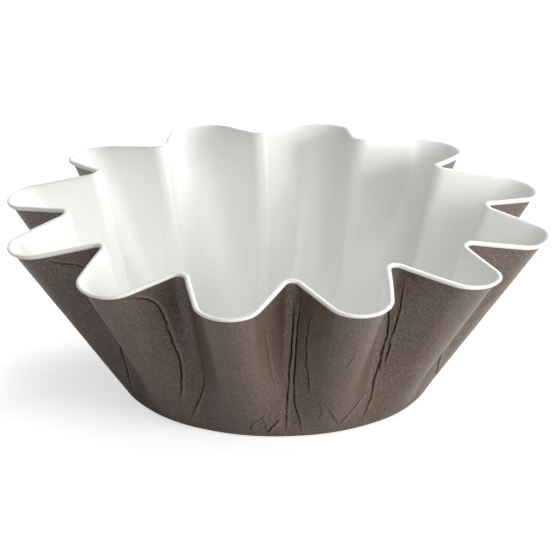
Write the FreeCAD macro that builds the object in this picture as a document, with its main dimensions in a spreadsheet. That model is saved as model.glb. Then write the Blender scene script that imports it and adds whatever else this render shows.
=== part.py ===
# Fluted cupcake liner that stands by itself, in millimetres.
# One round sheet, brown on the outside and white on the inside, is pressed into a flat
# round base and twelve flutes that fan out to a wavy rim with a small out-turned lip.
# Origin: centre of the base, on the surface that it stands on. +Z points up out of the
# cup, and one flute's crest points along +X.
#
# The sheet starts round, so the wall is drawn in straight lines that were its radii, from
# the circle of the base to the flutes at the rim. Each stretch of a flute rises from a
# share of the base circle as large as its share of the flute's length, and the flutes fade
# into the base. Narrow flat facets follow the wall's curve.

import FreeCAD, Part
import math
import os
import Sketcher

NODE = "fluted_cup"

# Driving dimensions: name, value and what it measures.
SIZES = [
    ("base_radius", 30.0, "flat round base"),
    ("crest_radius", 54.2, "outside of the wall at a crest, at the rim"),
    ("crest_height", 34.0, "top of the rim at a crest"),
    ("valley_radius", 40.5, "outside of the wall at a valley, at the rim"),
    ("valley_height", 36.9, "top of the rim at a valley"),
    ("flute_count", 12, "flutes round the cup"),
    ("crest_round", 6.4, "radius of the wall's crest seen from above"),
    ("valley_round", 0.4, "radius of the lip's valley seen from above"),
    ("sheet_thickness", 0.35, "paper with its white lining"),
    ("lip_reach", 0.8, "how far the lip turns out past the wall"),
    ("lip_depth", 0.75, "top of the lip to its underside"),
    ("trim_allowance", 3.0, "wall drawn past the rim before the rim is trimmed"),
]

# Facets in each stretch of half a flute.
CREST_FACETS = 9
FLANK_FACETS = 5
VALLEY_FACETS = 4

# Four corners count as flat when the last is this near the plane of the others, in mm.
FLAT = 1e-7

# Formulas over the sheet of sizes. Angles are in degrees, in plan.
HALF_FLUTE = "(180 deg / Sizes.flute_count)"
DRAWN_HEIGHT = "(max(Sizes.valley_height; Sizes.crest_height) + Sizes.trim_allowance)"
CREST_SLOPE = "((Sizes.crest_radius - Sizes.base_radius) / Sizes.crest_height)"
VALLEY_SLOPE = "((Sizes.valley_radius - Sizes.base_radius) / Sizes.valley_height)"
MEAN_SLOPE = f"(({CREST_SLOPE} + {VALLEY_SLOPE}) / 2)"
WALL_ACROSS = f"(Sizes.sheet_thickness * sqrt(1 + {MEAN_SLOPE}^2))"

# The flute's section at the drawn height: how far out its round crest and valley have their
# centres, the angle that the crest turns through from its middle to the flank, and the
# length of each stretch of half the flute.
VALLEY_WALL = "(Sizes.valley_round + Sizes.lip_reach)"
CREST_CENTRE = (
    f"(Sizes.base_radius + {CREST_SLOPE} * {DRAWN_HEIGHT} - Sizes.crest_round)"
)
VALLEY_CENTRE = f"(Sizes.base_radius + {VALLEY_SLOPE} * {DRAWN_HEIGHT} + {VALLEY_WALL})"
ACROSS_X = f"({CREST_CENTRE} - {VALLEY_CENTRE} * cos({HALF_FLUTE}))"
ACROSS_Y = f"({VALLEY_CENTRE} * sin({HALF_FLUTE}))"
ROUNDS = f"(Sizes.crest_round + {VALLEY_WALL})"
FLANK_TURN = (
    f"(90 deg - atan({ACROSS_Y} / {ACROSS_X})"
    f" + asin({ROUNDS} / sqrt({ACROSS_X}^2 + {ACROSS_Y}^2)))"
)
CREST_RUN = f"(Sizes.crest_round * {FLANK_TURN} * pi / 180 deg)"
FLANK_RUN = f"sqrt({ACROSS_X}^2 + {ACROSS_Y}^2 - {ROUNDS}^2)"
VALLEY_RUN = f"({VALLEY_WALL} * ({FLANK_TURN} - {HALF_FLUTE}) * pi / 180 deg)"
WHOLE_RUN = f"({CREST_RUN} + {FLANK_RUN} + {VALLEY_RUN})"
CREST_FOOT = f"({HALF_FLUTE} * {CREST_RUN} / {WHOLE_RUN})"
FLANK_FOOT = f"({HALF_FLUTE} * {FLANK_RUN} / {WHOLE_RUN})"

# The rim's top is a plane over each flute that falls from the valleys to the crest.
RIM_FALL = (
    "((Sizes.valley_height - Sizes.crest_height)"
    f" / (Sizes.crest_radius - Sizes.valley_radius * cos({HALF_FLUTE})))"
)
RIM_AT_AXIS = f"(Sizes.crest_height + {RIM_FALL} * Sizes.crest_radius)"


def make_sheet(doc):
    sheet = doc.addObject("Spreadsheet::Sheet", "Sizes")
    for row, (alias, value, note) in enumerate(SIZES, start=1):
        sheet.set(f"A{row}", note)
        sheet.set(f"B{row}", str(value))
        sheet.setAlias(f"B{row}", alias)
    doc.recompute()
    return sheet


def rule(sketch, kind, *where):
    sketch.addConstraint(Sketcher.Constraint(kind, *where))


def evaluate(sketch, formula):
    """The formula's value, in millimetres or degrees."""
    result = sketch.evalExpression(formula)
    return getattr(result, "Value", result)


def size(sketch, kind, where, formula):
    """Adds a dimension to the sketch and ties it to a formula over the sheet."""
    value = evaluate(sketch, formula)
    if kind == "Angle":
        value = math.radians(value)
    index = sketch.addConstraint(Sketcher.Constraint(kind, *where, value))
    sketch.setExpression(f"Constraints[{index}]", formula)


def polar(radius, degrees):
    angle = math.radians(degrees)
    return FreeCAD.Vector(radius * math.cos(angle), radius * math.sin(angle), 0)


def add_line(sketch, start, end, construction=False):
    return sketch.addGeometry(Part.LineSegment(start, end), construction)


def add_arc(sketch, centre, radius, start, end):
    """A round stretch, whose angles run in the direction of travel. Returns it with which of
    its ends is first and which last."""
    circle = Part.Circle(centre, FreeCAD.Vector(0, 0, 1), radius)
    low, high = sorted((math.radians(start), math.radians(end)))
    arc = sketch.addGeometry(Part.ArcOfCircle(circle, low, high), False)
    return (arc, 1, 2) if end > start else (arc, 2, 1)


def new_sketch(doc, name, height):
    sketch = doc.addObject("Sketcher::SketchObject", name)
    sketch.setExpression("Placement.Base.z", height)
    return sketch


def close_half(sketch, first_end, last_end, end):
    """Lines from the cup's axis to both ends of half a flute, the first along X."""
    near = add_line(sketch, FreeCAD.Vector(0, 0, 0), FreeCAD.Vector(end.Length, 0, 0), True)
    far = add_line(sketch, FreeCAD.Vector(0, 0, 0), end, True)
    rule(sketch, "Coincident", near, 1, -1, 1)
    rule(sketch, "PointOnObject", near, 2, -1)
    rule(sketch, "Coincident", near, 2, *first_end)
    rule(sketch, "Coincident", far, 1, -1, 1)
    rule(sketch, "Coincident", far, 2, *last_end)
    size(sketch, "Angle", (far,), HALF_FLUTE)
    return far


def facet_ends(doc, sketch, stretches):
    """Points that divide each stretch evenly. A stretch is given with the sketch's end that
    is its first and its number of facets, in the direction of travel."""
    doc.recompute()
    level = FreeCAD.Vector(0, 0, sketch.Placement.Base.z)
    ends = []
    for index, first, count in stretches:
        points = sketch.Geometry[index].toShape().discretize(count + 1)
        ends += (points if first == 1 else points[::-1])[1 if ends else 0:]
    return [end + level for end in ends]


def half_foot(doc, name, height, radius):
    """Half a flute at the base: the part of the base circle that each stretch rises from."""
    sketch = new_sketch(doc, name, height)
    r, crest, flank, half = (
        evaluate(sketch, f) for f in (radius, CREST_FOOT, FLANK_FOOT, HALF_FLUTE)
    )
    axis = FreeCAD.Vector(0, 0, 0)
    crest_arc, crest_first, crest_last = add_arc(sketch, axis, r, 0, crest)
    flank_arc, flank_first, flank_last = add_arc(sketch, axis, r, crest, crest + flank)
    valley_arc, valley_first, valley_last = add_arc(sketch, axis, r, crest + flank, half)
    rule(sketch, "Coincident", crest_arc, crest_last, flank_arc, flank_first)
    rule(sketch, "Coincident", flank_arc, flank_last, valley_arc, valley_first)
    for arc in (crest_arc, flank_arc, valley_arc):
        rule(sketch, "Coincident", arc, 3, -1, 1)
    size(sketch, "Radius", (crest_arc,), radius)
    size(sketch, "Angle", (crest_arc,), CREST_FOOT)
    size(sketch, "Angle", (flank_arc,), FLANK_FOOT)
    close_half(sketch, (crest_arc, crest_first), (valley_arc, valley_last), polar(r, half))
    stretches = [
        (crest_arc, crest_first, CREST_FACETS),
        (flank_arc, flank_first, FLANK_FACETS),
        (valley_arc, valley_first, VALLEY_FACETS),
    ]
    return facet_ends(doc, sketch, stretches)


def half_section(doc, name, crest, valley):
    """Half a flute at the drawn height: from the middle of the crest down the flank to the
    middle of the valley, with the radii of the crest and the valley as formulas."""
    sketch = new_sketch(doc, name, DRAWN_HEIGHT)
    crest_out, r1, valley_out, r2, turn, half = (
        evaluate(sketch, f)
        for f in (CREST_CENTRE, crest, VALLEY_CENTRE, valley, FLANK_TURN, HALF_FLUTE)
    )
    crest_hub = FreeCAD.Vector(crest_out, 0, 0)
    valley_hub = polar(valley_out, half)
    crest_arc, crest_first, crest_last = add_arc(sketch, crest_hub, r1, 0, turn)
    slope = add_line(sketch, crest_hub + polar(r1, turn), valley_hub - polar(r2, turn))
    valley_arc, valley_first, valley_last = add_arc(
        sketch, valley_hub, r2, turn + 180, half + 180
    )
    rule(sketch, "Tangent", crest_arc, crest_last, slope, 1)
    rule(sketch, "Tangent", slope, 2, valley_arc, valley_first)
    rule(sketch, "PointOnObject", crest_arc, 3, -1)
    size(sketch, "DistanceX", (-1, 1, crest_arc, 3), CREST_CENTRE)
    size(sketch, "Radius", (crest_arc,), crest)
    size(sketch, "Radius", (valley_arc,), valley)
    end = polar(valley_out - r2, half)
    far = close_half(sketch, (crest_arc, crest_first), (valley_arc, valley_last), end)
    rule(sketch, "PointOnObject", valley_arc, 3, far)
    size(sketch, "Distance", (-1, 1, valley_arc, 3), VALLEY_CENTRE)
    stretches = [
        (crest_arc, crest_first, CREST_FACETS),
        (slope, 1, FLANK_FACETS),
        (valley_arc, valley_first, VALLEY_FACETS),
    ]
    return facet_ends(doc, sketch, stretches)


def round_the_cup(half, count):
    """The whole outline at one height: half a flute, its mirror image, and its copies."""
    flute = [FreeCAD.Vector(p.x, -p.y, p.z) for p in reversed(half[1:])] + half[:-1]
    turns = [FreeCAD.Rotation(FreeCAD.Vector(0, 0, 1), 360 * i / count) for i in range(count)]
    return [turn.multVec(point) for turn in turns for point in flute]


def flat_face(points):
    return Part.Face(Part.makePolygon(points + points[:1]))


def lines_up(low, high, count):
    """The wall's straight lines, flute by flute and in order round the cup: one at each
    corner of its outlines and, between two that aren't in one plane, the shorter diagonal."""
    flutes = [[] for _ in range(count)]
    corners = list(zip(low, high))
    for i, ((a, c), (b, d)) in enumerate(zip(corners, corners[1:] + corners[:1])):
        lines = flutes[i * count // len(corners)]
        lines.append((a, c))
        twist = (b - a).cross(c - a).normalize().dot(d - a)
        if abs(twist) > FLAT:
            lines.append((a, d) if (d - a).Length < (c - b).Length else (b, c))
    return flutes


def draw_wall(doc, name, grow, foot_height, foot_grow):
    """One face of the wall, from the base up to the drawn height. grow moves its outline out
    at the drawn height, and foot_grow at the base. Returns its outline at the base and its
    lines."""
    foot = half_foot(doc, name + "_foot", foot_height, f"(Sizes.base_radius + {foot_grow})")
    top = half_section(
        doc, name + "_top", f"(Sizes.crest_round + {grow})", f"({VALLEY_WALL} - {grow})"
    )
    count = doc.Sizes.flute_count
    low, high = (round_the_cup(half, count) for half in (foot, top))
    return low, lines_up(low, high, count)


def trim(doc, wall, drop):
    """Where each line of a wall meets the rim's slope, drop under the rim's top. The slope
    is a plane over each flute, and all of them meet on the cup's axis."""
    fall, apex = (evaluate(doc.Sizes, f) for f in (RIM_FALL, f"({RIM_AT_AXIS} - {drop})"))
    peak = FreeCAD.Vector(0, 0, apex)
    ends = []
    for i, lines in enumerate(wall):
        normal = polar(fall, 360 * i / len(wall)) + FreeCAD.Vector(0, 0, 1)
        shares = [(peak - low).dot(normal) / (high - low).dot(normal) for low, high in lines]
        ends.append([low + (high - low) * s for (low, high), s in zip(lines, shares)])
    return ends


def feet(wall):
    return [[low for low, high in lines] for lines in wall]


def facets(low, high):
    """Flat faces between two outlines, from line to line of the wall."""
    low, high = sum(low, []), sum(high, [])
    faces = []
    for corners in zip(low, low[1:] + low[:1], high[1:] + high[:1], high):
        faces.append(flat_face([p for i, p in enumerate(corners) if p != corners[i - 1]]))
    return faces


def slopes(outer, inner):
    """A flat face over each flute, between two outlines on the rim's slope."""
    faces = []
    for i in range(len(outer)):
        near, far = (outline[i - 1] + outline[i][:1] for outline in (outer, inner))
        faces.append(flat_face(near + far[::-1]))
    return faces


def make_cup(doc):
    """The sheet as one solid: its outside up to the lip, the lip, its inside and the floor."""
    base, outside = draw_wall(doc, "outside", "0", "0 mm", "0")
    reach = "Sizes.lip_reach"
    lip = draw_wall(doc, "lip", reach, "0 mm", reach)[1]
    floor, inside = draw_wall(
        doc,
        "inside",
        f"-{WALL_ACROSS}",
        "Sizes.sheet_thickness * 1 mm",
        f"({MEAN_SLOPE} * Sizes.sheet_thickness - {WALL_ACROSS})",
    )
    outside_end, lip_under = (trim(doc, wall, "Sizes.lip_depth") for wall in (outside, lip))
    lip_top, inside_end = (trim(doc, wall, "0") for wall in (lip, inside))
    faces = [flat_face(base), flat_face(floor)]
    faces += facets(feet(outside), outside_end) + slopes(outside_end, lip_under)
    faces += facets(lip_under, lip_top) + slopes(lip_top, inside_end)
    faces += facets(feet(inside), inside_end)

    solid = Part.Solid(Part.Shell(faces))
    if solid.Volume < 0:
        solid.reverse()
    cup = doc.addObject("Part::Feature", NODE)
    cup.Shape = solid
    cup.Label = NODE
    doc.recompute()
    return cup


def check(doc, parts):
    failed = [o.Name for o in doc.Objects if "Invalid" in o.State or "Error" in o.State]
    loose = [
        o.Name
        for o in doc.Objects
        if o.TypeId == "Sketcher::SketchObject" and not o.FullyConstrained
    ]
    broken = [
        o.Name for o in parts if o.Shape.isNull() or not o.Shape.isValid() or not o.Shape.Solids
    ]
    if failed or loose or broken:
        raise SystemExit(f"failed {failed}, loose sketches {loose}, broken shapes {broken}")


doc = FreeCAD.newDocument("cupcake_liner")
make_sheet(doc)
parts = [make_cup(doc)]
check(doc, parts)
os.makedirs("parts", exist_ok=True)
for part in parts:
    part.Shape.exportStep(f"parts/{part.Label}.step")
    box = part.Shape.BoundBox
    print(
        part.Label,
        f"{len(part.Shape.Solids)} solid, {part.Shape.Volume:.1f} mm3,",
        f"{box.XLength:.2f} x {box.YLength:.2f} x {box.ZLength:.2f} mm",
    )
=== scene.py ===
import math

import bpy
import numpy as np
from mathutils import Matrix, Vector, noise


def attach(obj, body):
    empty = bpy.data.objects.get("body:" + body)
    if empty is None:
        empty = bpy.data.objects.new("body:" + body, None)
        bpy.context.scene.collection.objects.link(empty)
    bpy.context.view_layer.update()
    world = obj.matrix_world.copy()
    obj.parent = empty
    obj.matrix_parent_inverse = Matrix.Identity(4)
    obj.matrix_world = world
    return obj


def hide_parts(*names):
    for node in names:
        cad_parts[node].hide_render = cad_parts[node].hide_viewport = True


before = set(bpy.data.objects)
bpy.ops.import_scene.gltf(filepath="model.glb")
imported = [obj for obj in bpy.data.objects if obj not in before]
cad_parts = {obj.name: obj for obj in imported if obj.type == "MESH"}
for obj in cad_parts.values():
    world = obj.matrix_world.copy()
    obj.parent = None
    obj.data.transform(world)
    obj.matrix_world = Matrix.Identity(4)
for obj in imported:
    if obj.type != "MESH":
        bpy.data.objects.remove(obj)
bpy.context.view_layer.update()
print("frame loaded")

mm = 0.001

# The cup as it is pressed, in millimetres and degrees, with the sizes of the CAD part. Only
# its valleys are rounder, because the paper springs back a little.
cup = {
    "baseRadius": 30.0,
    "crestRadius": 54.2,
    "crestHeight": 34.0,
    "valleyRadius": 40.5,
    "valleyHeight": 36.9,
    "fluteCount": 12,
    "crestRound": 6.4,
    "valleyRound": 2.3,
    "sheetThickness": 0.35,
    "drawnHeight": 39.9,       # the wall is drawn past the rim and ends at the rim's slope
    "heelBend": 0.9,           # how far the bend from base to wall reaches into the base
    "heelRise": 0.8,           # and how far up the wall, as a share of that
}

# How each flute of this one cup sits off the even pattern at the rim: its crest further out
# in mm and turned in degrees, then the same of the valley after it.
fluteOffsets = [
    (-0.3, 0.5, 0.8, -1.8),
    (-0.1, 0.1, -2.0, -0.6),
    (1.2, 2.2, 1.0, 2.1),
    (1.0, 0.6, 1.0, 0.5),
    (1.1, -2.0, 0.0, 0.6),
    (0.3, -2.3, -0.7, -0.3),
    (-0.2, -1.2, 0.7, 0.6),
    (0.3, 0.1, -0.5, -1.3),
    (-0.8, -0.2, -0.1, -0.6),
    (-0.8, 0.5, -0.8, 0.2),
    (-1.0, 0.4, -1.7, 0.9),
    (-0.6, 1.7, 1.1, -1.7),
]

# Mesh columns in each stretch of half a flute, from the crest to the valley.
columnCounts = {"crest": 22, "flank": 16, "valley": 12}


def turned(radius, degrees):
    angle = np.radians(degrees)
    return np.stack([radius * np.cos(angle), radius * np.sin(angle)], axis=-1)


def wholeOutline(half):
    # All flutes: the half, its mirror image before it, and the copies round the cup.
    flute = np.concatenate([half[:0:-1] * [1, -1], half])[:-1]
    rings = []
    for k in range(cup["fluteCount"]):
        turn = 2 * np.pi * k / cup["fluteCount"]
        c, s = np.cos(turn), np.sin(turn)
        rings.append(flute @ np.array([[c, s], [-s, c]]))
    return np.concatenate(rings)


# The wall's outline at the base and at the drawn height, before this cup's offsets. The
# sheet is round, so each straight line up the wall is one of its radii.
def outlines():
    halfAngle = 180 / cup["fluteCount"]
    crestSlope = (cup["crestRadius"] - cup["baseRadius"]) / cup["crestHeight"]
    valleySlope = (cup["valleyRadius"] - cup["baseRadius"]) / cup["valleyHeight"]
    crestHub = cup["baseRadius"] + crestSlope * cup["drawnHeight"] - cup["crestRound"]
    valleyHub = cup["baseRadius"] + valleySlope * cup["drawnHeight"] + cup["valleyRound"]
    valleyCentre = turned(valleyHub, halfAngle)
    across = [crestHub, 0] - valleyCentre
    rounds = cup["crestRound"] + cup["valleyRound"]
    span = np.hypot(*across)
    lean = math.atan2(-across[1], across[0]) - math.asin(rounds / span)
    flankTurn = 90 - math.degrees(lean)
    flank = math.sqrt(span ** 2 - rounds ** 2)
    runs = [
        cup["crestRound"] * math.radians(flankTurn),
        flank,
        cup["valleyRound"] * math.radians(flankTurn - halfAngle),
    ]
    counts = [columnCounts[k] for k in ("crest", "flank", "valley")]
    crest = [crestHub, 0] + turned(cup["crestRound"], np.linspace(0, flankTurn, counts[0] + 1))
    turns = np.linspace(flankTurn, halfAngle, counts[2] + 1)
    valley = valleyCentre - turned(cup["valleyRound"], turns)
    slope = crest[-1] + (valley[0] - crest[-1]) * np.linspace(0, 1, counts[1] + 1)[:, None]
    drawn = np.concatenate([crest[:-1], slope[:-1], valley])
    reach = np.concatenate([[0], np.cumsum(np.repeat(runs, counts) / np.repeat(counts, counts))])
    foot = turned(cup["baseRadius"], halfAngle * reach / reach[-1])
    return wholeOutline(foot), wholeOutline(drawn)


def smoothRing(anchors, values, angles):
    # Values at anchor angles round the cup, joined smoothly.
    order = np.argsort(anchors)
    at, what = anchors[order], values[order]
    at = np.concatenate([at[-1:] - 360, at, at[:1] + 360])
    what = np.concatenate([what[-1:], what, what[:1]])
    i = np.clip(np.searchsorted(at, angles, side="right") - 1, 0, len(at) - 2)
    share = (angles - at[i]) / (at[i + 1] - at[i])
    share = share * share * (3 - 2 * share)
    return what[i] + (what[i + 1] - what[i]) * share


def offsetOutline(drawn):
    # The drawn outline with this cup's own unevenness.
    radius = np.hypot(drawn[:, 0], drawn[:, 1])
    angle = np.degrees(np.arctan2(drawn[:, 1], drawn[:, 0])) % 360
    pitch = 360 / cup["fluteCount"]
    offsets = np.array(fluteOffsets).reshape(-1, 2)
    anchors = (np.arange(len(offsets)) * pitch / 2) % 360
    grown = cup["drawnHeight"] / cup["crestHeight"]
    out = smoothRing(anchors, offsets[:, 0], angle) * grown
    turn = smoothRing(anchors, offsets[:, 1], angle) * grown
    return turned(radius + out, angle + turn)


footOutline, drawnOutline = outlines()
drawnOutline = offsetOutline(drawnOutline)
columns = len(footOutline)

# The outward direction in plan at each column, and how high the rim is there.
tangent = np.roll(drawnOutline, -1, axis=0) - np.roll(drawnOutline, 1, axis=0)
outward = np.stack([tangent[:, 1], -tangent[:, 0]], axis=-1)
outward /= np.linalg.norm(outward, axis=1)[:, None]
footOut = footOutline / np.linalg.norm(footOutline, axis=1)[:, None]
fluteIndex = np.repeat(np.arange(cup["fluteCount"]), columns // cup["fluteCount"])
crestDirection = 2 * np.pi * fluteIndex / cup["fluteCount"]
towards = np.stack([np.cos(crestDirection), np.sin(crestDirection)], axis=-1)
rimFall = (cup["valleyHeight"] - cup["crestHeight"]) / (
    cup["crestRadius"] - cup["valleyRadius"] * math.cos(math.pi / cup["fluteCount"])
)
rimAtAxis = cup["crestHeight"] + rimFall * cup["crestRadius"]
footReach = (footOutline * towards).sum(axis=1)
drawnReach = (drawnOutline * towards).sum(axis=1)
rimHeight = (rimAtAxis - rimFall * footReach) / (
    1 + rimFall * (drawnReach - footReach) / cup["drawnHeight"]
)
print("outline drawn,", columns, "columns")


def wallPoints(height, grow, footHeight, footGrow):
    # A ring of points on the wall: height in mm at each column, grow moves it outwards.
    share = (height - footHeight) / (cup["drawnHeight"] - footHeight)
    share = np.broadcast_to(share, (columns,))[:, None]
    foot = footOutline + footGrow * footOut
    top = drawnOutline + grow * outward
    plan = foot + (top - foot) * share
    return np.column_stack([plan, np.broadcast_to(height, (columns,))])


meanSlope = (
    (cup["crestRadius"] - cup["baseRadius"]) / cup["crestHeight"]
    + (cup["valleyRadius"] - cup["baseRadius"]) / cup["valleyHeight"]
) / 2
acrossWall = cup["sheetThickness"] * math.sqrt(1 + meanSlope ** 2)


def layer(depth):
    # A face inside the sheet, depth being its share of the sheet's thickness.
    return {
        "grow": -acrossWall * depth,
        "footHeight": cup["sheetThickness"] * depth,
        "footGrow": (meanSlope * cup["sheetThickness"] - acrossWall) * depth,
    }


def heelRows(face, count=4):
    # The soft bend from the flat base up into the wall.
    corner = wallPoints(face["footHeight"], **face)
    inner = corner.copy()
    inner[:, :2] -= footOut * cup["heelBend"]
    upper = wallPoints(face["footHeight"] + cup["heelBend"] * cup["heelRise"], **face)
    rows = []
    for s in np.linspace(0, 1, count + 1):
        rows.append(inner * (1 - s) ** 2 + corner * 2 * s * (1 - s) + upper * s ** 2)
    return rows


def wallRows(face, below, count):
    # Rows of wall from just over the heel to a drop under the rim.
    low = face["footHeight"] + cup["heelBend"] * cup["heelRise"]
    shares = np.linspace(0, 1, count + 1)[1:]
    return [wallPoints(low + (rimHeight - below - low) * s, **face) for s in shares]


# Folds that the press left in the sheet. Each has a channel, a strength and its line as
# (degrees round the cup, mm above the base); lines near each other differ in channel.
sheetFolds = [
    (0, 1.0, [(245.4, 33.4), (248.0, 32.6), (249.5, 29.5), (249.8, 25.0), (250.0, 20.5),
              (250.6, 16.0), (249.6, 11.0), (246.8, 5.5)]),
    (1, 1.0, [(226.5, 28.0), (224.5, 21.0), (220.6, 14.5), (220.3, 8.5), (218.0, 2.5)]),
    (2, 1.0, [(223.6, 8.5), (227.5, 5.0), (231.9, 1.2)]),
    (0, 0.8, [(216.4, 33.0), (219.8, 31.2)]),
    (1, 0.9, [(261.6, 29.0), (258.8, 18.5), (256.0, 10.0), (251.5, 5.0), (247.8, 0.8)]),
    (2, 0.45, [(278.0, 30.0), (279.0, 21.5), (280.1, 14.0)]),
    (2, 1.0, [(276.8, 0.6), (279.6, 2.4), (282.8, 4.8)]),
    (0, 0.6, [(271.6, 1.6), (273.2, 4.2), (276.3, 5.0), (277.6, 6.6)]),
    (0, 1.0, [(286.2, 33.0), (286.0, 25.0), (285.6, 17.0), (284.9, 9.0), (284.4, 0.5)]),
    (1, 1.0, [(287.8, 33.5), (287.3, 25.0), (287.0, 17.0), (286.9, 9.0), (289.0, 5.0),
              (290.9, 0.6)]),
    (2, 0.9, [(290.6, 31.5), (289.8, 28.0), (289.7, 22.0), (290.2, 17.0), (292.2, 10.0)]),
    (0, 1.0, [(316.8, 33.0), (317.4, 27.0), (318.0, 20.0), (317.0, 13.0), (316.4, 5.5),
              (314.0, 0.6)]),
    (1, 1.0, [(319.2, 33.4), (319.4, 26.0), (319.0, 20.0), (318.6, 13.5)]),
    (2, 1.0, [(315.6, 8.6), (309.5, 6.2), (303.6, 2.4)]),
    (2, 0.5, [(300.4, 23.5), (299.2, 19.0)]),
    (1, 0.9, [(343.6, 31.0), (345.0, 20.0), (347.2, 8.0)]),
    (2, 0.6, [(341.0, 24.0), (342.2, 14.0), (340.0, 4.0)]),
    (0, 0.5, [(294.5, 9.4), (296.2, 7.0), (296.0, 5.0)]),
    (1, 0.6, [(297.4, 7.6), (300.9, 5.0), (303.5, 2.2)]),
    (0, 1.0, [(349.4, 13.5), (350.3, 9.0), (351.7, 7.0), (355.6, 4.0)]),
    (1, 0.5, [(276.0, 5.2), (277.4, 3.4), (277.7, 1.4)]),
    (2, 0.7, [(317.0, 17.6), (317.6, 15.4), (317.9, 12.5)]),
]

foldLook = {
    "groove": 0.12,            # mm deep
    "grooveWidth": 0.26,
    "ridge": 0.09,             # the paper stands up on one side of the groove
    "ridgeAt": 0.7,
    "ridgeWidth": 0.4,
    "waver": 0.08,             # how far a line wanders from its course
    "endShare": 0.15,          # of its length, over which a fold fades at either end
    "reach": 1.0,              # mm to each side of its line before a fold fades
    "fadeOver": 0.6,
    "margin": 2.5,             # mm round a fold's line in which points are looked at
    "nowhere": 9.0,            # mm, the distance given to points that no fold is near
    "unevenness": 0.07,        # soft dents all over the wall
    "dentSize": 7.0,
    "dentRise": 4.0,           # mm above the base at which the dents have their full depth
    "insideShare": 0.4,        # the film bridges the folds, which show less on the inside
}


def hiddenFolds():
    # Folds for the valleys that face away, in the manner of those in front.
    chance = np.random.default_rng(12)
    folds = []
    for valley in (13.0, 44.5, 77.0, 105.5, 135.5, 164.5, 195.5):
        lean = chance.uniform(0.5, 1.4, 3)
        kink = chance.uniform(5.0, 12.0)
        left = [(-lean[0], 33.0), (-lean[1], kink + 8), (-1.5, kink), (-3.0, 0.6)]
        right = [(lean[2], 32.0), (0.8, kink + 6), (2.0, kink), (4.0, 0.8)]
        branch = [(3.4, kink + 16), (3.8, kink + 8), (6.0, kink)]
        wrinkle = [(-6.5, kink - 3.0), (-9.5, kink - 4.4)]
        lines = ((0, 1.0, left), (1, 0.9, right), (2, 0.6, branch), (2, 0.7, wrinkle))
        for channel, strength, line in lines:
            folds.append((channel, strength, [(valley + turn, height) for turn, height in line]))
    return folds


def foldLine(line, chance):
    # A fold's line on the wall's outside, rounded and wavering a little.
    line = np.array(line, float)
    for _ in range(2):
        near, far = line[:-1] * 0.75 + line[1:] * 0.25, line[:-1] * 0.25 + line[1:] * 0.75
        line = np.concatenate([line[:1], np.stack([near, far], 1).reshape(-1, 2), line[-1:]])
    points = []
    for angle, height in line:
        ring = wallPoints(height, 0.0, 0.0, 0.0)
        around = np.degrees(np.arctan2(ring[:, 1], ring[:, 0])) % 360
        order = np.argsort(around)
        reach = np.hypot(ring[:, 0], ring[:, 1])[order]
        radius = np.interp(angle % 360, around[order], reach, period=360)
        points.append([*turned(radius, angle), height])
    points = np.array(points)
    return points + chance.normal(0, foldLook["waver"], points.shape)


# For each point: how far across the nearest fold of each channel it lies, how deep that
# fold is there, and how far the folds push the sheet out.
def foldFields(points):
    chance = np.random.default_rng(5)
    nowhere, margin = foldLook["nowhere"], foldLook["margin"]
    across = np.full((len(points), 3), nowhere)
    depth = np.zeros((len(points), 3))
    push = np.zeros(len(points))
    sideways = np.column_stack([-points[:, 1], points[:, 0]])
    for channel, strength, line in sheetFolds + hiddenFolds():
        path = foldLine(line, chance)
        close = np.all((points > path.min(0) - margin) & (points < path.max(0) + margin), axis=1)
        spots = points[close]
        gap = np.full(len(spots), nowhere)
        along = np.zeros(len(spots))
        signed = np.full(len(spots), nowhere)
        steps = np.linalg.norm(path[1:] - path[:-1], axis=1)
        reached = np.concatenate([[0], np.cumsum(steps)]) / steps.sum()
        for i, (start, end) in enumerate(zip(path, path[1:])):
            step = end - start
            share = np.clip((spots - start) @ step / (step @ step), 0, 1)
            away = spots - (start + share[:, None] * step)
            distance = np.linalg.norm(away, axis=1)
            nearer = distance < gap
            side = np.sign((away[:, :2] * sideways[close]).sum(axis=1))
            gap = np.where(nearer, distance, gap)
            signed = np.where(nearer, distance * side, signed)
            along = np.where(nearer, reached[i] + share * (reached[i + 1] - reached[i]), along)
        ends = foldLook["endShare"]
        taper = np.clip(along / ends, 0, 1) * np.clip((1 - along) / ends, 0, 1)
        fade = 1 - np.clip((gap - foldLook["reach"]) / foldLook["fadeOver"], 0, 1)
        index = np.flatnonzero(close)
        nearest = gap < np.abs(across[index, channel])
        across[index[nearest], channel] = signed[nearest]
        depth[index[nearest], channel] = (strength * taper * fade)[nearest]
        groove = -foldLook["groove"] * np.exp(-(signed / foldLook["grooveWidth"]) ** 2)
        beside = (signed - foldLook["ridgeAt"]) / foldLook["ridgeWidth"]
        ridge = foldLook["ridge"] * np.exp(-beside ** 2)
        push[index] += strength * taper * fade * (groove + ridge)
    return across, depth, np.maximum(push, -foldLook["groove"])


def pressed(rows, share=1.0):
    # The rows of a face with the folds and soft dents pressed into it.
    grid = np.array(rows)
    around = np.roll(grid, -1, axis=1) - np.roll(grid, 1, axis=1)
    normal = np.cross(around, np.gradient(grid, axis=0))
    normal /= np.linalg.norm(normal, axis=2)[:, :, None]
    flat = grid.reshape(-1, 3)
    across, depth, push = foldFields(flat)
    size = foldLook["dentSize"]
    dents = np.array([noise.noise(Vector(p) / size) for p in flat.tolist()])
    rise = np.clip(flat[:, 2] / foldLook["dentRise"], 0, 1)
    push = push + dents * foldLook["unevenness"] * rise
    grid = grid + push.reshape(grid.shape[:2])[:, :, None] * normal * share
    return list(grid), across, depth


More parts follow.
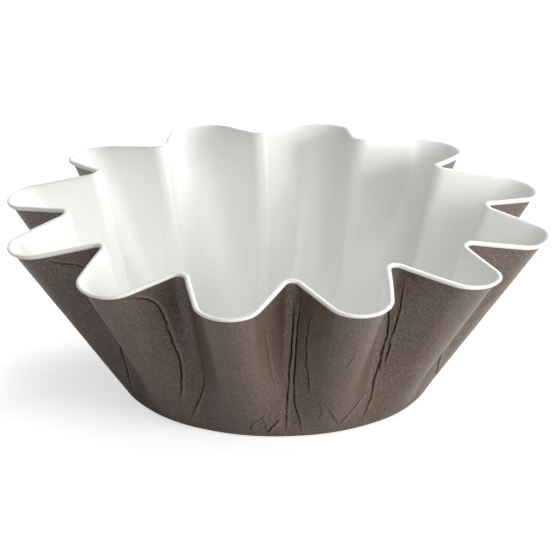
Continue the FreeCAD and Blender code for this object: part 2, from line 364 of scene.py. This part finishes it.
def keepFolds(piece, before, across, depth):
    # The fold fields as the piece's attributes, for its material.
    count = len(piece.data.vertices)
    for name, values, empty in (
        ("foldAcross", across, foldLook["nowhere"]), ("foldDepth", depth, 0.0)
    ):
        field = np.full((count, 3), empty)
        field[before:before + len(values)] = values
        attribute = piece.data.attributes.new(name, "FLOAT_VECTOR", "POINT")
        attribute.data.foreach_set("vector", field.ravel())


def shellFaces(rowCount):
    # Quads between rows of columns, with a flat many-sided face at both ends.
    index = np.arange(rowCount * columns).reshape(rowCount, columns)
    after = np.roll(index, -1, axis=1)
    quads = np.stack([index[:-1], after[:-1], after[1:], index[1:]], axis=-1).reshape(-1, 4)
    return [index[0][::-1].tolist()] + quads.tolist() + [index[-1].tolist()]


def buildPiece(name, rows, inward=False):
    mesh = bpy.data.meshes.new(name)
    points = np.concatenate(rows) * mm
    faces = shellFaces(len(rows))
    mesh.from_pydata(points.tolist(), [], [f[::-1] for f in faces] if inward else faces)
    mesh.update()
    mesh.shade_smooth()
    piece = bpy.data.objects.new(name, mesh)
    bpy.context.scene.collection.objects.link(piece)
    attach(piece, "root")
    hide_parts("fluted_cup")
    return piece


def linearColour(code):
    # An sRGB hex colour as the linear numbers that the shaders take.
    parts = [int(code[i:i + 2], 16) / 255 for i in (1, 3, 5)]
    return [p / 12.92 if p <= 0.04045 else ((p + 0.055) / 1.055) ** 2.4 for p in parts] + [1.0]


def addNode(tree, kind, settings=None, **links):
    # A node with its settings; links name its inputs, by _0, _1 for numbered ones.
    node = tree.nodes.new("ShaderNode" + kind)
    for key, value in (settings or {}).items():
        if isinstance(key, int) or key in node.inputs:
            node.inputs[key].default_value = value
        else:
            setattr(node, key, value)
    for key, source in links.items():
        socket = node.inputs[int(key[1:])] if key[0] == "_" else node.inputs[key.replace("_", " ")]
        tree.links.new(source, socket)
    return node


def newMaterial(name):
    material = bpy.data.materials.new(name)
    material.use_nodes = True
    material.node_tree.nodes.clear()
    return material, material.node_tree


brownPaper = {
    "paper": "#58463A",        # dyed through
    "fleck": "#918377",        # pale fibres near the surface
    "shade": "#4A382C",        # denser patches
    # painted shade: the dark line in each fold's crack
    "foldShadeColour": "#1E1410",
    # a paler band along the raised side of each fold
    "paleFoldSide": "#A08C7C",
    "roughness": 0.28,
    "ior": 1.7,                # paper has 1.5, but the pressed surface shines more
    "fleckSize": 0.29,         # mm, coarser than real fibres so that they show
    "fleckShare": 0.8,
    "cloudSize": 8.0,          # mm across a denser patch
    "cloudShare": 0.5,
    "grain": 0.7,              # how strongly the fibres stand up
    "foldShadeWidth": 0.2,          # mm from the middle of a fold's painted shade line to its edge
    "paleSideAt": 0.55,            # mm from the middle of a fold to the middle of its paler band
    "paleSideShare": 0.4,
    # Where the hidden inner face lies, as a share of the sheet's thickness, how far under
    # the rim the paper ends in mm, and the rows of mesh up the wall.
    "insideDepth": 0.72,
    "topDrop": 0.76,
    "rows": 60,
}


def foldMask(tree, start, end, shift=0.0):
    # 1 on the folds and 0 off them, in a band from start to end mm across each.
    fields = []
    for name in ("foldAcross", "foldDepth"):
        field = addNode(tree, "Attribute", {"attribute_name": name}).outputs["Vector"]
        fields.append(addNode(tree, "SeparateXYZ", _0=field).outputs)
    mask = None
    for axis in "XYZ":
        moved = addNode(tree, "Math", {"operation": "SUBTRACT", 1: shift}, _0=fields[0][axis])
        distance = addNode(tree, "Math", {"operation": "ABSOLUTE"}, _0=moved.outputs[0])
        edge = {"From Min": start, "From Max": end, "To Min": 1.0, "To Max": 0.0}
        edge["interpolation_type"] = "SMOOTHSTEP"
        band = addNode(tree, "MapRange", edge, Value=distance.outputs[0])
        line = addNode(
            tree, "Math", {"operation": "MULTIPLY"}, _0=band.outputs[0], _1=fields[1][axis]
        ).outputs[0]
        mask = line if mask is None else addNode(
            tree, "Math", {"operation": "MAXIMUM"}, _0=mask, _1=line
        ).outputs[0]
    return mask


def scaled(tree, value, share):
    return addNode(tree, "Math", {"operation": "MULTIPLY", 1: share}, _0=value).outputs[0]


def mixColours(tree, share, under, over):
    # over, a hex colour, laid on under by share; under is a hex colour or a node's output.
    settings = {"data_type": "RGBA", 7: linearColour(over)}
    if isinstance(under, str):
        return addNode(tree, "Mix", {**settings, 6: linearColour(under)}, _0=share).outputs[2]
    return addNode(tree, "Mix", settings, _0=share, _6=under).outputs[2]


# Greaseproof kraft paper, dyed through and calendered: a satin surface with a fine speckle
# of lighter fibres, painted shade as a dark line in each fold and in its gloss there, and a
# paler band along the raised side of each fold.
def makeBrownPaper():
    material, tree = newMaterial("brownKraftPaper")
    where = addNode(tree, "TexCoord").outputs["Object"]
    fibre = {"Scale": 1 / (brownPaper["fleckSize"] * mm), "Detail": 2.0, "Roughness": 0.75}
    fibres = addNode(tree, "TexNoise", fibre, Vector=where).outputs["Fac"]
    patch = {"Scale": 1 / (brownPaper["cloudSize"] * mm), "Detail": 3.0}
    patches = addNode(tree, "TexNoise", patch, Vector=where).outputs["Fac"]
    paler = addNode(
        tree, "MapRange", {"From Min": 0.45, "From Max": 0.68, "To Max": brownPaper["fleckShare"]},
        Value=fibres,
    ).outputs[0]
    denser = addNode(
        tree, "MapRange", {"From Min": 0.38, "From Max": 0.68, "To Max": brownPaper["cloudShare"]},
        Value=patches,
    ).outputs[0]
    # Painted shade: a dark line along each fold's crack.
    line = foldMask(tree, 0.08, brownPaper["foldShadeWidth"])
    # A paler band along the raised side of each fold.
    edge = foldMask(tree, 0.0, 0.3, shift=brownPaper["paleSideAt"])
    edge = scaled(tree, edge, brownPaper["paleSideShare"])
    colour = mixColours(tree, denser, brownPaper["paper"], brownPaper["shade"])
    colour = mixColours(tree, paler, colour, brownPaper["fleck"])
    colour = mixColours(tree, edge, colour, brownPaper["paleFoldSide"])
    colour = mixColours(tree, line, colour, brownPaper["foldShadeColour"])
    rough = {"Strength": brownPaper["grain"], "Distance": 0.03 * mm}
    grain = addNode(tree, "Bump", rough, Height=fibres)
    cracks = addNode(
        tree, "Bump", {"Strength": 0.8, "Distance": 0.12 * mm, "invert": True}, Height=line,
        Normal=grain.outputs[0],
    )
    satin = {"To Min": brownPaper["roughness"] - 0.04, "To Max": brownPaper["roughness"] + 0.1}
    gloss = addNode(tree, "MapRange", satin, Value=fibres).outputs[0]
    # Painted shade in the gloss: the reflection dimmed along each fold's crack.
    glossShadedInFolds = mixColours(tree, line, "#FFFFFF", brownPaper["foldShadeColour"])
    shader = addNode(
        tree, "BsdfPrincipled", {"IOR": brownPaper["ior"]}, Base_Color=colour, Roughness=gloss,
        Specular_Tint=glossShadedInFolds, Normal=cracks.outputs[0],
    )
    addNode(tree, "OutputMaterial", Surface=shader.outputs[0])
    return material


def makePaperCup():
    outside, inside = layer(0.0), layer(brownPaper["insideDepth"])
    drop = brownPaper["topDrop"]
    wall, across, depth = pressed(wallRows(outside, drop, brownPaper["rows"]))
    heel = heelRows(outside)
    hidden = wallRows(inside, drop, 3)[::-1] + heelRows(inside, 2)[::-1]
    piece = buildPiece("brown_paper_outside", heel + wall + hidden)
    keepFolds(piece, len(heel) * columns, across, depth)
    piece.data.materials.append(makeBrownPaper())
    print("brown paper made")


whiteLining = {
    "film": "#F1F2EF",
    # painted shade: the grey line along each fold
    "foldShadeColour": "#C9CBC6",
    "roughness": 0.3,
    "pressSize": 6.0,          # mm, the soft waves that the press leaves
    "foldShadeShare": 0.25,         # how strongly the painted shade along the folds shows in its colour
    # As for the paper: the hidden outer face, how far under the rim each face ends, and the
    # rows of mesh. The base has rings at these shares of its radius.
    "outsideDepth": 0.66,
    "wallDrop": 0.8,
    "outsideDrop": 1.0,
    "rows": 44,
    "baseRings": (0.35, 0.65, 0.88),
    # The lip's profile: out from the wall's outside, and below the rim's top, in mm.
    "lip": [
        (-0.39, -0.6), (-0.385, -0.42), (-0.35, -0.26), (-0.27, -0.12), (-0.14, -0.03), (0.04, 0.0),
        (0.28, -0.01), (0.5, -0.05), (0.68, -0.13), (0.8, -0.25), (0.86, -0.4), (0.84, -0.56),
        (0.75, -0.7), (0.58, -0.8), (0.34, -0.85), (0.06, -0.84), (-0.1, -0.82),
    ],
}


# White film laminated on the paper: smooth and glossy, a little uneven from the press, with painted
# shade as faint grey lines along its folds.
def makeWhiteLining():
    material, tree = newMaterial("whiteFilmLining")
    where = addNode(tree, "TexCoord").outputs["Object"]
    wave = {"Scale": 1 / (whiteLining["pressSize"] * mm), "Detail": 2.0}
    waves = addNode(tree, "TexNoise", wave, Vector=where).outputs["Fac"]
    bump = addNode(tree, "Bump", {"Strength": 0.15, "Distance": 0.2 * mm}, Height=waves)
    # Painted shade: faint grey lines along the folds.
    line = scaled(tree, foldMask(tree, 0.05, 0.35), whiteLining["foldShadeShare"])
    shader = addNode(
        tree, "BsdfPrincipled", {"Roughness": whiteLining["roughness"], "IOR": 1.5},
        Base_Color=mixColours(tree, line, whiteLining["film"], whiteLining["foldShadeColour"]),
        Normal=bump.outputs[0],
    )
    addNode(tree, "OutputMaterial", Surface=shader.outputs[0])
    return material


def makeLining():
    inside, outside = layer(1.0), layer(whiteLining["outsideDepth"])
    heel = heelRows(inside)
    base = [heel[0] * [share, share, 1] for share in whiteLining["baseRings"]] + heel
    wall = wallRows(inside, whiteLining["wallDrop"], whiteLining["rows"])
    wall, across, depth = pressed(wall, foldLook["insideShare"])
    lip = [wallPoints(rimHeight + drop, grow, 0.0, 0.0) for grow, drop in whiteLining["lip"]]
    hidden = wallRows(outside, whiteLining["outsideDrop"], 3)[::-1] + heelRows(outside, 2)[::-1]
    rows = base + wall + lip + hidden
    piece = buildPiece("white_lining_and_lip", rows, inward=True)
    keepFolds(piece, len(base) * columns, across, depth)
    piece.data.materials.append(makeWhiteLining())
    print("white lining made")


stage = {
    "eye": (211.2, -1080.6, 460.7),  # the camera, in mm
    "heading": 101.02,         # degrees from +X, seen from above
    "down": 21.77,
    "roll": 0.24,
    "lens": 385.7,
    "floor": "#F4F4F4",
    "floorReach": 3.0,         # metres
    "floorLift": 0.6,          # added to the lit floor where the camera sees it
    "room": 0.21,              # how strongly the white room lights the cup
    # Softboxes: direction in degrees from +X, height in degrees, metres away, size and watts.
    "lamps": [
        ("keyLowRight", -20, 12, 1.0, 0.5, 6.8),
        ("sideRight", 70, 40, 1.0, 0.5, 6.6),
        ("fillFront", -50, 32, 1.0, 0.5, 1.6),
        ("fillTop", -60, 75, 1.2, 0.9, 2.0),
    ],
}


def makeFloor():
    reach = stage["floorReach"]
    corners = [(-reach, -reach, 0), (reach, -reach, 0), (reach, reach, 0), (-reach, reach, 0)]
    mesh = bpy.data.meshes.new("floor")
    mesh.from_pydata(corners, [], [(0, 1, 2, 3)])
    floor = bpy.data.objects.new("floor", mesh)
    bpy.context.scene.collection.objects.link(floor)
    material, tree = newMaterial("paleFloor")
    paint = addNode(tree, "BsdfDiffuse", {"Color": linearColour(stage["floor"])})
    camera = addNode(tree, "LightPath").outputs["Is Camera Ray"]
    strength = scaled(tree, camera, stage["floorLift"])
    lift = addNode(tree, "Emission", {"Color": (1, 1, 1, 1)}, Strength=strength)
    both = addNode(tree, "AddShader", _0=paint.outputs[0], _1=lift.outputs[0])
    addNode(tree, "OutputMaterial", Surface=both.outputs[0])
    mesh.materials.append(material)


def seenRays(tree):
    # 1 for rays that show the surroundings, in the camera or in a gloss, and 0 for light.
    path = addNode(tree, "LightPath").outputs
    seen = path["Is Camera Ray"]
    for name in ("Is Glossy Ray", "Is Transmission Ray"):
        seen = addNode(tree, "Math", {"operation": "MAXIMUM"}, _0=seen, _1=path[name]).outputs[0]
    return seen


def makeWorld():
    world = bpy.data.worlds.new("studio")
    world.use_nodes = True
    tree = world.node_tree
    tree.nodes.clear()
    room = addNode(tree, "Background", {"Color": (1, 1, 1, 1), "Strength": stage["room"]})
    white = addNode(tree, "Background", {"Color": (1, 1, 1, 1), "Strength": 1.0})
    both = addNode(tree, "MixShader", _0=seenRays(tree), _1=room.outputs[0], _2=white.outputs[0])
    addNode(tree, "OutputWorld", Surface=both.outputs[0])
    bpy.context.scene.world = world


def softbox(name, direction, height, away, width, watts):
    lamp = bpy.data.lights.new(name, "AREA")
    lamp.size = width
    lamp.energy = watts
    level = away * math.cos(math.radians(height))
    place = Vector((*turned(level, direction), away * math.sin(math.radians(height))))
    box = bpy.data.objects.new(name, lamp)
    box.location = place
    box.rotation_euler = (Vector((0, 0, 0.02)) - place).to_track_quat("-Z", "Y").to_euler()
    bpy.context.scene.collection.objects.link(box)


def placeCamera():
    heading, down, roll = (math.radians(stage[k]) for k in ("heading", "down", "roll"))
    level = Vector((math.cos(heading), math.sin(heading), 0))
    ahead = level * math.cos(down) - Vector((0, 0, math.sin(down)))
    right = Vector((math.sin(heading), -math.cos(heading), 0))
    up = right.cross(ahead)
    c, s = math.cos(roll), math.sin(roll)
    right, up = right * c + up * s, up * c - right * s
    lens = bpy.data.cameras.new("camera")
    lens.lens = stage["lens"]
    lens.sensor_width = 36.0
    camera = bpy.data.objects.new("camera", lens)
    turn = Matrix((right, up, -ahead)).transposed().to_4x4()
    camera.matrix_world = Matrix.Translation(Vector(stage["eye"]) * mm) @ turn
    bpy.context.scene.collection.objects.link(camera)
    bpy.context.scene.camera = camera


makePaperCup()
makeLining()
makeFloor()
makeWorld()
for lamp in stage["lamps"]:
    softbox(*lamp)
placeCamera()
bpy.context.scene.view_settings.view_transform = "Standard"
print("stage set")
